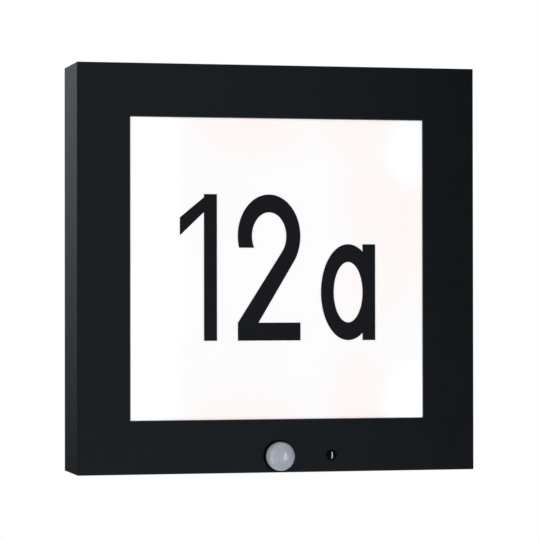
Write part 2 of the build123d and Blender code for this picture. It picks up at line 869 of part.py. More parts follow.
with BuildPart() as lid_seal:
    with BuildSketch(at(cover_depth - lid_seal_thickness)):
        with Locations((0, pocket_centre)):
            Rectangle(pocket_width + 2 * pocket_wall, pocket_height + 2 * pocket_wall)
            Rectangle(pocket_width, pocket_height, mode=Mode.SUBTRACT)
    extrude(amount=lid_seal_thickness)
save(lid_seal, "lid_seal")

with BuildPart() as terminal_lid:
    with BuildSketch(at(lid_rear)):
        with Locations((0, pocket_centre)):
            RectangleRounded(pocket_width + 2 * lid_margin, pocket_height + 2 * lid_margin, lid_round)
        with Locations(*lid_points):
            Circle(screw_radius + clearance_gap, mode=Mode.SUBTRACT)
        with Locations((0, grommet_height)):
            Circle(grommet_neck, mode=Mode.SUBTRACT)
    extrude(amount=lid_thickness)
save(terminal_lid, "terminal_lid")
screws(
    "lid_screws",
    lid_points,
    lid_rear,
    cover_front + lid_boss_height - lid_rear - 2 * hole_spare,
    screw_radius,
    head_radius,
    head_height,
)

with BuildPart() as cable_grommet:
    with BuildSketch(at(lid_rear - grommet_flange_thickness)):
        with Locations((0, grommet_height)):
            Circle(grommet_flange)
    extrude(amount=grommet_flange_thickness)
    with BuildSketch(at(lid_rear)):
        with Locations((0, grommet_height)):
            Circle(grommet_neck)
    extrude(amount=lid_thickness)
    with BuildSketch(at(lid_rear + lid_thickness)):
        with Locations((0, grommet_height)):
            Circle(grommet_flange)
    extrude(amount=grommet_flange_thickness)
    with BuildSketch(at(lid_rear - grommet_flange_thickness)):
        with Locations((0, grommet_height)):
            Circle(cable_radius)
    extrude(amount=lid_thickness + 2 * grommet_flange_thickness, mode=Mode.SUBTRACT)
save(cable_grommet, "cable_grommet")

bushing_length = 2 * terminal_pitch + 2 * bushing_margin
with BuildPart() as lead_bushing:
    with BuildSketch(Plane.XY.offset(pocket_top)):
        with Locations((0, -lead_depth)):
            Rectangle(bushing_length, bushing_height)
    extrude(amount=pocket_wall)
    for level in (pocket_top - bushing_flange, pocket_top + pocket_wall):
        with BuildSketch(Plane.XY.offset(level)):
            with Locations((0, -lead_depth)):
                Rectangle(bushing_length + 2 * bushing_overlap, bushing_height + 2 * bushing_overlap)
        extrude(amount=bushing_flange)
    with BuildSketch(Plane.XY.offset(pocket_top - bushing_flange)):
        with Locations((0, -lead_depth)):
            with GridLocations(terminal_pitch, 1, 3, 1):
                Circle(lead_radius + thread_gap)
    extrude(amount=pocket_wall + 2 * bushing_flange, mode=Mode.SUBTRACT)
save(lead_bushing, "lead_bushing")

# ---------------------------------------------------------------- earth connection and leads
barrel_depth = chassis_rear - barrel_radius
barrel_foot = earth_z - tag_radius - barrel_length + barrel_overlap
tag_rear = chassis_rear - tag_thickness
with BuildPart() as earth_tag:
    with BuildSketch(at(tag_rear)):
        with Locations((earth_x, earth_z)):
            Circle(tag_radius)
    extrude(amount=tag_thickness)
    with BuildSketch(Plane.XY.offset(barrel_foot)):
        with Locations((earth_x, -barrel_depth)):
            Circle(barrel_radius)
    extrude(amount=barrel_length)
    with BuildSketch(at(tag_rear)):
        with Locations((earth_x, earth_z)):
            Circle(screw_radius + clearance_gap)
    extrude(amount=tag_thickness, mode=Mode.SUBTRACT)
save(earth_tag, "earth_tag")
screws(
    "earth_screw",
    [(earth_x, earth_z)],
    tag_rear,
    tag_thickness + chassis_thickness - tip_gap,
    screw_radius,
    head_radius,
    head_height,
)

above_bushing = pocket_top + pocket_wall + bushing_flange + straight_end
below_driver = driver_bottom - straight_end


def mains_route(start_x, end_x):
    return [
        (start_x, lead_depth, terminal_top),
        (start_x, lead_depth, above_bushing),
        (end_x, plug_depth, below_driver),
        (end_x, plug_depth, plug_foot),
    ]


lead("live_lead", [mains_route(0, input_plug_x - input_pitch / 2)], lead_radius, lead_bend)
neutral_route = mains_route(terminal_pitch, input_plug_x + input_pitch / 2)
lead("neutral_lead", [neutral_route], lead_radius, lead_bend)
earth_route = [
    (-terminal_pitch, lead_depth, terminal_top),
    (-terminal_pitch, lead_depth, above_bushing),
    (earth_x, barrel_depth, barrel_foot - straight_end),
    (earth_x, barrel_depth, barrel_foot),
]
lead("earth_lead", [earth_route], lead_radius, lead_bend / 2)

led_plug_middle = chassis_front - led_plug_depth / 2
led_routes = []
for step in (-0.5, 0.5):
    led_lead_x = led_plug_x + step * led_plug_width / 2
    led_lead_z = driver_centre + step * output_pitch
    led_routes.append(
        [
            (led_lead_x, led_plug_middle, led_plug_z + led_plug_height / 2),
            (led_lead_x, led_plug_middle, led_plug_z + led_plug_height / 2 + straight_end),
            (led_lead_x, plug_depth, led_lead_z - led_lead_bend),
            (led_lead_x, plug_depth, led_lead_z),
            (driver_width / 2 - plug_inset, plug_depth, led_lead_z),
        ]
    )
lead("led_leads", led_routes, thin_lead_radius, lead_bend)

# ---------------------------------------------------------------- movement and dusk sensors
with BuildPart() as lens_seal:
    with BuildSketch(at(lens_seal_rear)):
        with Locations((0, sensor_height)):
            Circle(lens_flange_radius)
            Circle(lens_neck + slip_gap, mode=Mode.SUBTRACT)
        with Locations((0, -inner_half - lens_flange_radius)):
            Rectangle(2 * lens_flange_radius, 2 * lens_flange_radius, mode=Mode.SUBTRACT)
    extrude(amount=lens_seal_thickness)
save(lens_seal, "lens_seal")


def turned(x, z):
    """Plane through the axis of a piece that is turned about a line square to the wall."""
    return Plane(origin=(x, 0, z), x_dir=(0, -1, 0), z_dir=(-1, 0, 0))


def turning_axis(x, z):
    return Axis((x, 0, z), (0, -1, 0))


def ball(neck, radius):
    """Solid of revolution with a straight neck that runs into a ball."""
    start = lens_centre - (radius**2 - neck**2) ** 0.5
    with BuildPart() as body:
        with BuildSketch(turned(0, sensor_height)):
            with BuildLine():
                Polyline((holder_front, 0), (holder_front, neck), (start, neck))
                CenterArc((lens_centre, 0), radius, 0, degrees(atan2(neck, start - lens_centre)))
                Line((lens_centre + radius, 0), (holder_front, 0))
            make_face()
        revolve(axis=turning_axis(0, sensor_height))
    return body.part


outer_ball = ball(lens_neck, lens_radius)
inner_ball = ball(lens_neck - lens_wall, lens_radius - lens_wall)
with BuildPart() as motion_lens:
    with BuildSketch(at(holder_front)):
        with Locations((0, sensor_height)):
            Circle(lens_flange_radius)
    extrude(amount=lens_flange_thickness)
    add(outer_ball)
    with BuildSketch(at(holder_front)):
        with Locations((0, -inner_half + slip_gap - lens_flange_radius)):
            Rectangle(2 * lens_flange_radius, 2 * lens_flange_radius)
    extrude(amount=front_inside - holder_front, mode=Mode.SUBTRACT)
    add(inner_ball, mode=Mode.SUBTRACT)
save(motion_lens, "motion_lens")

dusk_radius = dusk_hole - 0.5 * slip_gap
with BuildPart() as dusk_lens:
    with BuildSketch(turned(dusk_offset, sensor_height)):
        with BuildLine():
            Polyline(
                (holder_front, 0),
                (holder_front, dusk_flange_radius),
                (front_inside, dusk_flange_radius),
                (front_inside, dusk_radius),
                (body_depth, dusk_radius),
            )
            EllipticalCenterArc((body_depth, 0), dusk_rise, dusk_radius, start_angle=0, arc_size=90)
            Line((body_depth + dusk_rise, 0), (holder_front, 0))
        make_face()
    revolve(axis=turning_axis(dusk_offset, sensor_height))
    with BuildSketch(at(holder_front)):
        with Locations((dusk_offset, sensor_height)):
            Circle(dusk_bore)
    extrude(amount=body_depth - holder_front - 1, mode=Mode.SUBTRACT)
save(dusk_lens, "dusk_lens")

with BuildPart() as sensor_holder:
    holder_size = (holder_width, holder_top + holder_bottom)
    with BuildSketch(at(sensor_board_front)):
        with Locations((holder_middle, sensor_height + (holder_top - holder_bottom) / 2)):
            RectangleRounded(*holder_size, edge_round)
        with Locations((0, sensor_height)):
            Circle(lens_neck - lens_wall, mode=Mode.SUBTRACT)
        with Locations((dusk_offset, sensor_height)):
            Circle(dusk_bore, mode=Mode.SUBTRACT)
        with Locations(*sensor_points):
            Circle(small_screw_radius + clearance_gap, mode=Mode.SUBTRACT)
    extrude(amount=holder_thickness)
save(sensor_holder, "sensor_holder")

with BuildPart() as sensor_board:
    board_middle = sensor_height - holder_bottom + sensor_board_height / 2
    with BuildSketch(at(sensor_board_rear)):
        with Locations((holder_middle, board_middle)):
            Rectangle(holder_width, sensor_board_height)
        with Locations(*sensor_points):
            Circle(small_screw_radius + clearance_gap, mode=Mode.SUBTRACT)
    extrude(amount=circuit_thickness)
save(sensor_board, "sensor_board")
screws(
    "sensor_screws",
    sensor_points,
    sensor_board_rear,
    circuit_thickness + holder_thickness + sensor_thread - 0.5,
    small_screw_radius,
    small_head_radius,
    small_head_height,
)

with BuildPart() as motion_detector:
    with BuildSketch(at(sensor_board_front)):
        with Locations((0, sensor_height)):
            Circle(detector_foot_radius)
    extrude(amount=detector_foot_height)
    with BuildSketch(at(sensor_board_front)):
        with Locations((0, sensor_height)):
            Circle(detector_radius)
    extrude(amount=detector_height)
    with BuildSketch(at(sensor_board_front + detector_height)):
        with Locations((0, sensor_height)):
            Rectangle(detector_window_width, detector_window_height)
    extrude(amount=-detector_window_depth, mode=Mode.SUBTRACT)
save(motion_detector, "motion_detector")

with BuildPart() as dusk_detector:
    with BuildSketch(at(sensor_board_front)):
        with Locations((dusk_offset, sensor_height)):
            Circle(photodiode_radius)
    extrude(amount=detector_height)
    fillet(dusk_detector.faces().sort_by(Axis.Y)[0].edges(), photodiode_round)
save(dusk_detector, "dusk_detector")

with BuildPart() as sensor_components:
    with BuildSketch(at(sensor_board_rear)):
        with Locations((0, sensor_height + chip_rise)):
            Rectangle(chip_width, chip_height)
    extrude(amount=-chip_thickness)
    with BuildSketch(at(sensor_board_rear)):
        with Locations((relay_x, sensor_height)):
            Rectangle(relay_width, relay_height)
        with Locations((sensor_plug_x, sensor_height)):
            Rectangle(sensor_plug_width, plug_length)
    extrude(amount=-trimmer_height)
save(sensor_components, "sensor_components")

with BuildPart() as sensor_trimmers:
    with BuildSketch(at(trimmer_rear)):
        with Locations(*dial_points):
            Rectangle(trimmer_size, trimmer_size)
    extrude(amount=trimmer_height)
    with BuildSketch(at(trimmer_rear)):
        with Locations(*dial_points):
            Circle(rotor_radius)
    extrude(amount=rotor_depth, mode=Mode.SUBTRACT)
save(sensor_trimmers, "sensor_trimmers")

sensor_lead_columns = [sensor_plug_x + step * sensor_lead_pitch for step in (-1, 0, 1)]
sensor_routes = []
for column in sensor_lead_columns:
    sensor_routes.append(
        [
            (column, trimmer_rear, sensor_height),
            (column, lead_lift, sensor_height),
            (column, lead_lift, below_driver - 2 * straight_end),
            (column, plug_depth, below_driver),
            (column, plug_depth, plug_foot),
        ]
    )
lead("sensor_leads", sensor_routes, thin_lead_radius, lead_bend)

clip_width = 2 * (sensor_lead_pitch + thin_lead_radius + clip_margin)
with BuildPart() as lead_clips:
    with BuildSketch(at(chassis_rear)):
        with Locations((sensor_plug_x, clip_centre)):
            with GridLocations(1, clip_pitch, 1, clip_count):
                Rectangle(clip_width, clip_length)
    extrude(amount=-clip_height)
    with BuildSketch(Plane.XY.offset(-inner_half)):
        for column in sensor_lead_columns:
            with Locations((column, -lead_lift)):
                Circle(thin_lead_radius + thread_gap)
    extrude(amount=2 * inner_half, mode=Mode.SUBTRACT)
save(lead_clips, "lead_clips")

# ---------------------------------------------------------------- setting dials
dial_rear = cover_depth - dial_proud
collar_rear = cover_front + dial_seal_thickness
shaft_end = trimmer_rear - running_gap

with BuildPart() as dial_seals:
    with BuildSketch(at(cover_front)):
        with Locations(*dial_points):
            Circle(dial_collar_radius)
            Circle(dial_radius + running_gap, mode=Mode.SUBTRACT)
    extrude(amount=dial_seal_thickness - running_gap)
save(dial_seals, "dial_seals")


def setting_dial(name, x):
    with BuildPart() as dial:
        with BuildSketch(at(dial_rear)):
            with Locations((x, dial_height)):
                Circle(dial_radius)
        extrude(amount=collar_rear - dial_rear)
        chamfer(dial.faces().sort_by(Axis.Y)[-1].edges(), dial_chamfer)
        with BuildSketch(at(collar_rear)):
            with Locations((x, dial_height)):
                Circle(dial_collar_radius)
        extrude(amount=dial_collar_thickness)
        with BuildSketch(at(collar_rear)):
            with Locations((x, dial_height)):
                Circle(dial_shaft_radius)
        extrude(amount=shaft_end - collar_rear)
        with BuildSketch(at(shaft_end)):
            with Locations((x, dial_height)):
                Circle(spindle_radius)
        extrude(amount=-spindle_length, mode=Mode.SUBTRACT)
        with BuildSketch(at(dial_rear)):
            with Locations((x, dial_height)):
                Rectangle(dial_slot_width, dial_slot_length)
        extrude(amount=dial_slot_depth, mode=Mode.SUBTRACT)
        with BuildSketch(at(dial_rear)):
            with Locations((x, dial_height + dial_mark_offset)):
                Circle(dial_mark_radius)
        extrude(amount=dial_mark_depth, mode=Mode.SUBTRACT)
    save(dial, f"{name}_dial")
    with BuildPart() as rotor:
        with BuildSketch(at(shaft_end)):
            with Locations((x, dial_height)):
                Circle(spindle_radius)
        extrude(amount=-spindle_length)
        with BuildSketch(at(shaft_end)):
            with Locations((x, dial_height)):
                Circle(spindle_radius)
        extrude(amount=running_gap)
        with BuildSketch(at(trimmer_rear)):
            with Locations((x, dial_height)):
                Circle(rotor_radius - running_gap)
        extrude(amount=rotor_depth - running_gap)
    save(rotor, f"{name}_rotor")


setting_dial("time", -dial_offset)
setting_dial("lux", dial_offset)

# ---------------------------------------------------------------- wall bracket
with BuildPart() as wall_bracket:
    with BuildSketch(at(0)):
        with Locations((-upright_offset, 0), (upright_offset, 0)):
            Rectangle(upright_width, 2 * bracket_half)
        Rectangle(2 * upright_offset, crossbar_height)
        with GridLocations(2 * upright_offset, wall_slot_pitch, 2, 2):
            SlotOverall(slot_length, 2 * slot_radius, mode=Mode.SUBTRACT)
        with GridLocations(box_slot_pitch, 1, 2, 1):
            SlotOverall(slot_length, 2 * slot_radius, mode=Mode.SUBTRACT)
    extrude(amount=sheet_thickness)
    with BuildSketch(at(0)):
        for side in (-1, 1):
            with GridLocations(2 * upright_offset, 1, 2, 1):
                with Locations((0, side * (bracket_half - sheet_thickness / 2))):
                    Rectangle(upright_width, sheet_thickness)
    extrude(amount=bracket_flange_depth)
    wall_edges = wall_bracket.edges().filter_by(Axis.X).group_by(Axis.Y)[-1]
    fillet(wall_edges.group_by(Axis.Z)[0] + wall_edges.group_by(Axis.Z)[-1], bracket_bend)
save(wall_bracket, "wall_bracket")

grub_foot = -body_size / 2 + grub_inset
with BuildPart() as grub_screws:
    with BuildSketch(Plane.XY.offset(grub_foot)):
        with Locations(*grub_points):
            Circle(grub_radius - thread_gap)
    extrude(amount=-bracket_half - grub_gap - grub_foot)
    with BuildSketch(Plane.XY.offset(grub_foot)):
        with Locations(*grub_points):
            RegularPolygon(grub_socket, 6)
    extrude(amount=grub_socket_depth, mode=Mode.SUBTRACT)
save(grub_screws, "grub_screws")
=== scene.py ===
# Finishes, small trim, studio and camera for the lit house number sign.
# The sign hangs on a wall at y = 0 and faces -Y. Every length is in metres.
import json
import math
import bmesh
import bpy
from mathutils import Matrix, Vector

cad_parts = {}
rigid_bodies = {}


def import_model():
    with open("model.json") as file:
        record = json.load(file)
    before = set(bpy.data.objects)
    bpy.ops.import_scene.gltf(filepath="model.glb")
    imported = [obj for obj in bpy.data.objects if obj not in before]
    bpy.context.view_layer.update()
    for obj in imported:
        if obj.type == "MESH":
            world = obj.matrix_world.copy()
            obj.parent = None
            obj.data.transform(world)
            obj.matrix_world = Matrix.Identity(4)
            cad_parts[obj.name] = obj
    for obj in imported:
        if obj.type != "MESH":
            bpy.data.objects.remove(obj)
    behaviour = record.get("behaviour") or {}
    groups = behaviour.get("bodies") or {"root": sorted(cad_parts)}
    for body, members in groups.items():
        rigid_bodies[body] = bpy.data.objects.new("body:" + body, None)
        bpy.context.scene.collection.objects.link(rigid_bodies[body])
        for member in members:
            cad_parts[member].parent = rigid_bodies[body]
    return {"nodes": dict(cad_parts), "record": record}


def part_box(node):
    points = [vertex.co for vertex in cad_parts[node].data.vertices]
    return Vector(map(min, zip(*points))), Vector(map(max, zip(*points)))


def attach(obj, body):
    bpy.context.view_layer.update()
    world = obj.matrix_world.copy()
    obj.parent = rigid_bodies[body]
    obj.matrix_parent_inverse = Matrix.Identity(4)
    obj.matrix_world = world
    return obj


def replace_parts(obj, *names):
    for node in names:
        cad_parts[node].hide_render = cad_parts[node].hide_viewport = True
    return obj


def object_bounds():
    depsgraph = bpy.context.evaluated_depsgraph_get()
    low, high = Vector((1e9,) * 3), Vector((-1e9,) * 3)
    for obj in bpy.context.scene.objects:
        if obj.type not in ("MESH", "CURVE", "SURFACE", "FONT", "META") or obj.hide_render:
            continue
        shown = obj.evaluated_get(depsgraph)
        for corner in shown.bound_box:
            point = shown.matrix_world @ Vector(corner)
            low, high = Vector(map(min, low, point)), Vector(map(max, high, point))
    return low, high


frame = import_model()
nodes = frame["nodes"]
cadBox = [list(corner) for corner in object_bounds()]
print("frame loaded:", len(nodes), "nodes")


# A socket that can be written as plain arithmetic
class Level:
    def __init__(self, tree, socket):
        self.tree = tree
        self.socket = socket

    def use(self, operation, *values, clamp=False):
        settings = {"operation": operation, "use_clamp": clamp}
        return Level(self.tree, self.tree.node("ShaderNodeMath", settings, *values).outputs[0])

    def __add__(self, other):
        return self.use("ADD", self, other)

    def __radd__(self, other):
        return self.use("ADD", other, self)

    def __sub__(self, other):
        return self.use("SUBTRACT", self, other)

    def __rsub__(self, other):
        return self.use("SUBTRACT", other, self)

    def __mul__(self, other):
        return self.use("MULTIPLY", self, other)

    def __rmul__(self, other):
        return self.use("MULTIPLY", other, self)

    def __truediv__(self, other):
        return self.use("DIVIDE", self, other)

    def __rtruediv__(self, other):
        return self.use("DIVIDE", other, self)

    def __pow__(self, other):
        return self.use("POWER", self, other)

    def clamped(self):
        return self.use("ADD", self, 0.0, clamp=True)

    def larger(self, other):
        return self.use("MAXIMUM", self, other)

    def smaller(self, other):
        return self.use("MINIMUM", self, other)

    # 1 where this is less than the other, and 0 elsewhere
    def lessThan(self, other):
        return self.use("LESS_THAN", self, other)

    def magnitude(self):
        return self.use("ABSOLUTE", self)

    def fraction(self):
        return self.use("FRACT", self)

    def sine(self):
        return self.use("SINE", self)

    def cosine(self):
        return self.use("COSINE", self)

    def arcsine(self):
        return self.use("ARCSINE", self)

    # Angle of a direction whose parts are this, across, and the other, ahead
    def angle(self, ahead):
        return self.use("ARCTAN2", self, ahead)

    # A noise from 0 to 1, turned into one about zero with this whole width
    def swing(self, width):
        return (self - 0.5) * width


# A node tree. A node is made from its type, its settings and what its sockets get.
class Tree:
    def __init__(self, owner):
        owner.use_nodes = True
        self.tree = owner.node_tree
        self.tree.nodes.clear()

    def node(self, kind, settings=None, *values, **named):
        made = self.tree.nodes.new(kind)
        for key, value in (settings or {}).items():
            if key == "stops":
                self.setStops(made.color_ramp, value)
            else:
                setattr(made, key, value)
        for index, value in enumerate(values):
            self.feed(made.inputs[index], value)
        self.feedNamed(made, named)
        return made

    # A socket's name is written with _ for each space in it
    def feedNamed(self, made, named):
        for key, value in named.items():
            self.feed(made.inputs[key.replace("_", " ")], value)

    def setStops(self, ramp, stops):
        while len(ramp.elements) < len(stops):
            ramp.elements.new(0.5)
        for element, (position, colour) in zip(ramp.elements, stops):
            element.position = position
            element.color = (*colour, 1.0)

    def feed(self, socket, value):
        if isinstance(value, Level):
            value = value.socket
        if isinstance(value, bpy.types.NodeSocket):
            self.tree.links.new(value, socket)
        elif isinstance(value, (tuple, list)) and len(value) == 3 and socket.type == "RGBA":
            socket.default_value = (*value, 1.0)
        else:
            socket.default_value = value

    def level(self, socket):
        return Level(self, socket)

    # A Mix node has its two colours at inputs 6 and 7, and their mix at output 2
    def blend(self, factor, first, second):
        made = self.node("ShaderNodeMix", {"data_type": "RGBA"}, factor)
        self.feed(made.inputs[6], first)
        self.feed(made.inputs[7], second)
        return made.outputs[2]

    # The three parts of a vector, such as the place on the object
    def xyz(self, vector):
        parts = self.node("ShaderNodeSeparateXYZ", {}, vector)
        return [self.level(output) for output in parts.outputs]


def scaled(colour, share):
    return tuple(channel * share for channel in colour)


# One procedural finish, laid out by the place on the object
class Finish(Tree):
    def __init__(self, name, **shading):
        self.material = bpy.data.materials.new(name)
        super().__init__(self.material)
        self.shader = self.node("ShaderNodeBsdfPrincipled", {}, **shading)
        self.node("ShaderNodeOutputMaterial", {}, Surface=self.shader.outputs[0])
        self.place = self.node("ShaderNodeTexCoord").outputs["Object"]

    def noise(self, size, detail=2.0, roughness=0.5, stretch=None):
        where = self.place
        if stretch:
            where = self.node("ShaderNodeMapping", {}, where, Scale=stretch).outputs[0]
        sockets = {"Scale": 1 / size, "Detail": detail, "Roughness": roughness}
        made = self.node("ShaderNodeTexNoise", {}, Vector=where, **sockets)
        return self.level(made.outputs["Fac"])

    # One colour between a dark and a light shade of it
    def shades(self, factor, colour, dark, light):
        return self.blend(factor, scaled(colour, dark), scaled(colour, light))

    # Relief of one or more layers, each a height from 0 to 1 and its depth in metres
    def relief(self, *layers):
        normal = None
        for height, depth in layers:
            made = self.node("ShaderNodeBump", {}, Strength=1.0, Distance=depth, Height=height)
            if normal:
                self.feed(made.inputs["Normal"], normal)
            normal = made.outputs[0]
        self.feed(self.shader.inputs["Normal"], normal)

    def set(self, **sockets):
        self.feedNamed(self.shader, sockets)


# Satin powder coat of the housing: fine grain over a faint orange peel
coat = {
    "colour": (0.0022, 0.0027, 0.0035),
    "cloud": 0.018,
    "cloudShades": (0.6, 1.4),
    "cloudSheen": 0.08,
    "grain": 0.0006,
    "grainDepth": 0.000012,
    "grainSheen": 0.06,
    "speckShade": 1.9,
    "speckContrast": 2.5,
    "speckLevel": 0.3,
    "orangePeel": 0.004,
    "peelDepth": 0.00001,
    "roughness": 0.19,
    "specular": 0.50,
}


def powderCoat():
    finish = Finish("powderCoat", Specular_IOR_Level=coat["specular"])
    grain = finish.noise(coat["grain"], detail=3.0, roughness=0.6)
    peel = finish.noise(coat["orangePeel"], detail=1.0)
    cloud = finish.noise(coat["cloud"], detail=3.0)
    tone = finish.shades(cloud, coat["colour"], *coat["cloudShades"])
    speck = (grain.swing(coat["speckContrast"]) + coat["speckLevel"]).clamped()
    sheen = coat["roughness"] + grain.swing(coat["grainSheen"]) + cloud.swing(coat["cloudSheen"])
    finish.set(
        Base_Color=finish.blend(speck, tone, scaled(coat["colour"], coat["speckShade"])),
        Roughness=sheen,
    )
    finish.relief((peel, coat["peelDepth"]), (grain, coat["grainDepth"]))
    return finish.material


# Glow of the panel: full white where an LED row is close, a trifle warmer between the rows
panel = {
    "colour": (0.79, 0.79, 0.79),
    "glow": (0.73, 0.72, 0.72),
    "bright": (1.0, 1.0, 1.0),
    "warm": (0.78, 0.61, 0.56),
    "strength": 0.46,
    "roughness": 0.32,
    "grain": 0.0006,
    "grainSheen": 0.06,
    "grainDepth": 0.000006,
    "ripple": 0.03,
    # how strong a patch is, and how much the ripple adds
    "patchLevel": 0.8,
    "patchRipple": 0.4,
    # centre x, centre z, half width, half height and amount of each patch
    "warmPatches": (
        (-0.018, 0.094, 0.052, 0.034, 1.0),
        (0.050, 0.094, 0.030, 0.034, 1.0),
        (0.058, 0.048, 0.022, 0.056, 0.8),
        (0.081, 0.030, 0.026, 0.052, 1.0),
        (0.066, -0.010, 0.040, 0.034, 0.65),
        (-0.024, -0.092, 0.052, 0.026, 0.7),
        (0.052, -0.084, 0.026, 0.044, 0.95),
        (-0.048, 0.056, 0.034, 0.050, 0.25),
        (-0.030, -0.060, 0.040, 0.040, 0.25),
    ),
    "brightPatches": (
        (-0.110, 0.000, 0.050, 0.300, 1.0),
        (0.092, -0.088, 0.024, 0.030, 1.0),
        (0.088, 0.072, 0.016, 0.024, 0.6),
    ),
}


def opalPanel():
    finish = Finish("opalPanel", Base_Color=panel["colour"], Emission_Strength=panel["strength"])
    x, _, z = finish.xyz(finish.place)
    ripple = finish.noise(panel["ripple"], detail=1.0)
    grain = finish.noise(panel["grain"])

    def cover(patches):
        total = 0.0
        for midX, midZ, halfX, halfZ, amount in patches:
            across = (x - midX) / halfX
            along = (z - midZ) / halfZ
            patch = (1.0 - (across * across + along * along)).clamped() * amount
            total = patch.larger(total)
        return (total * (panel["patchLevel"] + ripple * panel["patchRipple"])).clamped()

    warmed = finish.blend(cover(panel["warmPatches"]), panel["glow"], panel["warm"])
    finish.set(
        Emission_Color=finish.blend(cover(panel["brightPatches"]), warmed, panel["bright"]),
        Roughness=panel["roughness"] + grain * panel["grainSheen"],
    )
    finish.relief((grain, panel["grainDepth"]))
    return finish.material


# Black foil of the characters, with a fine stipple and slight wrinkles
foil = {
    "colour": (0.0056, 0.0056, 0.0078),
    "shades": (0.9, 1.15),
    "specular": 0.32,
    "roughness": 0.24,
    "stipple": 0.0007,
    "stippleSheen": 0.1,
    "stippleDepth": 0.000008,
    "wrinkle": 0.02,
    "wrinkleDepth": 0.00003,
}


def foilFinish():
    finish = Finish("foil", Specular_IOR_Level=foil["specular"])
    stipple = finish.noise(foil["stipple"])
    wrinkle = finish.noise(foil["wrinkle"])
    finish.set(
        Base_Color=finish.shades(wrinkle, foil["colour"], *foil["shades"]),
        Roughness=foil["roughness"] + stipple * foil["stippleSheen"],
    )
    finish.relief((stipple, foil["stippleDepth"]), (wrinkle, foil["wrinkleDepth"]))
    return finish.material


# Moulded plastic with a fine spark-eroded grain and slight flow marks
plastic = {
    "grainSheen": 0.12,
    "flow": 0.02,
    "flowStretch": (0.35, 1.0, 1.0),
    "flowShades": (0.93, 1.07),
    "flowSheen": 0.06,
}


def mouldedPlastic(name, colour, roughness=0.5, grain=0.0006, depth=0.00002, specular=0.5):
    finish = Finish(name, Specular_IOR_Level=specular)
    fine = finish.noise(grain, roughness=0.6)
    flow = finish.noise(plastic["flow"], stretch=plastic["flowStretch"])
    sheen = roughness + fine.swing(plastic["grainSheen"]) + flow.swing(plastic["flowSheen"])
    finish.set(Base_Color=finish.shades(flow, colour, *plastic["flowShades"]), Roughness=sheen)
    finish.relief((fine, depth))
    return finish.material


# Dull black rubber of the seals, the grommet and the rings on it
rubber = {
    "colour": (0.0016, 0.0016, 0.0018),
    "specular": 0.06,
    "roughness": 0.68,
    "bloom": 0.008,
    "bloomShades": (0.85, 1.3),
    "grain": 0.0004,
    "grainSheen": 0.2,
    "grainDepth": 0.00002,
}


def sealRubber():
    finish = Finish("sealRubber", Specular_IOR_Level=rubber["specular"])
    grain = finish.noise(rubber["grain"], detail=3.0, roughness=0.7)
    bloom = finish.noise(rubber["bloom"], detail=3.0)
    finish.set(
        Base_Color=finish.shades(bloom, rubber["colour"], *rubber["bloomShades"]),
        Roughness=rubber["roughness"] + grain.swing(rubber["grainSheen"]),
    )
    finish.relief((grain, rubber["grainDepth"]))
    return finish.material


# Galvanised sheet: crystals of slightly different tone, with fine rolling lines
zinc = {
    "dark": (0.42, 0.435, 0.45),
    "light": (0.66, 0.67, 0.68),
    "roughness": 0.34,
    "crystal": 0.005,
    "crystalShare": 0.5,
    "crystalSheen": 0.12,
    "crystalDepth": 0.000008,
    "cloud": 0.03,
    "cloudShare": 0.5,
    "lines": 0.0006,
    "lineStretch": (1.0, 1.0, 0.06),
    "lineSheen": 0.1,
    "lineDepth": 0.000012,
}


def zincSheet():
    finish = Finish("zincSheet", Metallic=1.0)
    sockets = {"Vector": finish.place, "Scale": 1 / zinc["crystal"]}
    crystals = finish.node("ShaderNodeTexVoronoi", {}, **sockets).outputs["Color"]
    crystal = finish.level(finish.node("ShaderNodeSeparateColor", {}, crystals).outputs[0])
    lines = finish.noise(zinc["lines"], roughness=0.6, stretch=zinc["lineStretch"])
    cloud = finish.noise(zinc["cloud"], detail=3.0)
    shade = (crystal * zinc["crystalShare"] + cloud * zinc["cloudShare"]).clamped()
    sheen = zinc["roughness"] + crystal * zinc["crystalSheen"] + lines.swing(zinc["lineSheen"])
    finish.set(Base_Color=finish.blend(shade, zinc["dark"], zinc["light"]), Roughness=sheen)
    finish.relief((lines, zinc["lineDepth"]), (crystal, zinc["crystalDepth"]))
    return finish.material


# Bare metal of screws, pins, cans and plate, with a fine grain and faint clouds
metal = {
    "grain": 0.0005,
    "grainSheen": 0.15,
    "grainDepth": 0.000008,
    "cloud": 0.006,
    "cloudShades": (0.85, 1.1),
}


def bareMetal(name, colour, roughness):
    finish = Finish(name, Metallic=1.0)
    grain = finish.noise(metal["grain"], detail=3.0, roughness=0.6)
    cloud = finish.noise(metal["cloud"])
    finish.set(
        Base_Color=finish.shades(cloud, colour, *metal["cloudShades"]),
        Roughness=roughness + grain.swing(metal["grainSheen"]),
    )
    finish.relief((grain, metal["grainDepth"]))
    return finish.material


# Circuit board: solder mask over faint copper tracks, which run in patches and wander a little
board = {
    "roughness": 0.32,
    "grain": 0.0008,
    "grainSheen": 0.12,
    "wander": 0.012,
    "wanderTurn": 9.0,
    "trackContrast": 3.0,
    "trackGap": 1.2,
    "trackDepth": 0.00003,
    "patch": 0.010,
    "patchContrast": 14.0,
}


def circuitBoard(name, colour, track, trackWidth):
    finish = Finish(name)
    z = finish.xyz(finish.place)[2]
    wander = finish.noise(board["wander"]) * board["wanderTurn"]
    rows = (z / trackWidth + wander).sine() * board["trackContrast"] - board["trackGap"]
    patch = finish.noise(board["patch"], detail=1.0).swing(board["patchContrast"])
    tracks = rows.clamped() * patch.clamped()
    finish.set(
        Base_Color=finish.blend(tracks, colour, track),
        Roughness=board["roughness"] + finish.noise(board["grain"]) * board["grainSheen"],
    )
    finish.relief((tracks, board["trackDepth"]))
    return finish.material


